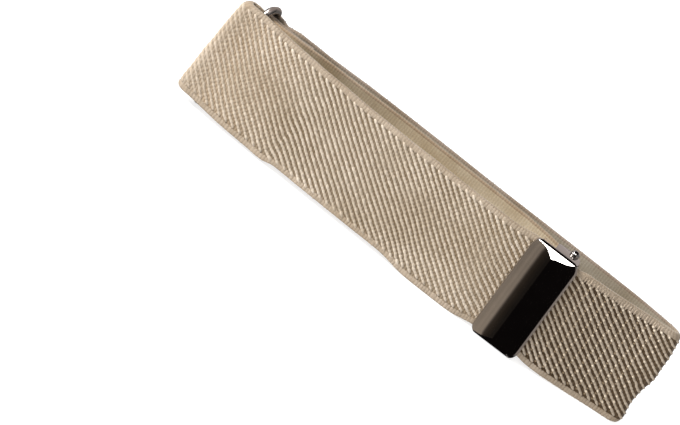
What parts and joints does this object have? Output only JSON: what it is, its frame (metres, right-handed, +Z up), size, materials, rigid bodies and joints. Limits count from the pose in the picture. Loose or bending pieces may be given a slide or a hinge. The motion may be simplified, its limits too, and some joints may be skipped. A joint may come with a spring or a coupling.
{
  "type": "sleeve garter",
  "caption": "Adjustable elastic twill sleeve garter: a flat loop of beige elastic with a wire ring at one end and a domed polished metal slider near the other.",
  "frame": {"origin": "middle of the underside of the loop's box, on the surface that the band stands on", "axes": "+X along the loop towards the slider's end, +Y from the slider's front to the back, +Z up along the arm's axis"},
  "size_m": [0.1184, 0.0146, 0.0283],
  "materials": {
    "elastic": "beige twill elastic",
    "ring_nickel": "nickel plated wire",
    "slider_nickel": "polished dark nickel"
  },
  "bodies": {
    "root": {"elastic_strap": "elastic", "wire_ring": "ring_nickel", "slider_plate": "slider_nickel", "slider_bar": "slider_nickel"}
  },
  "joints": []
}
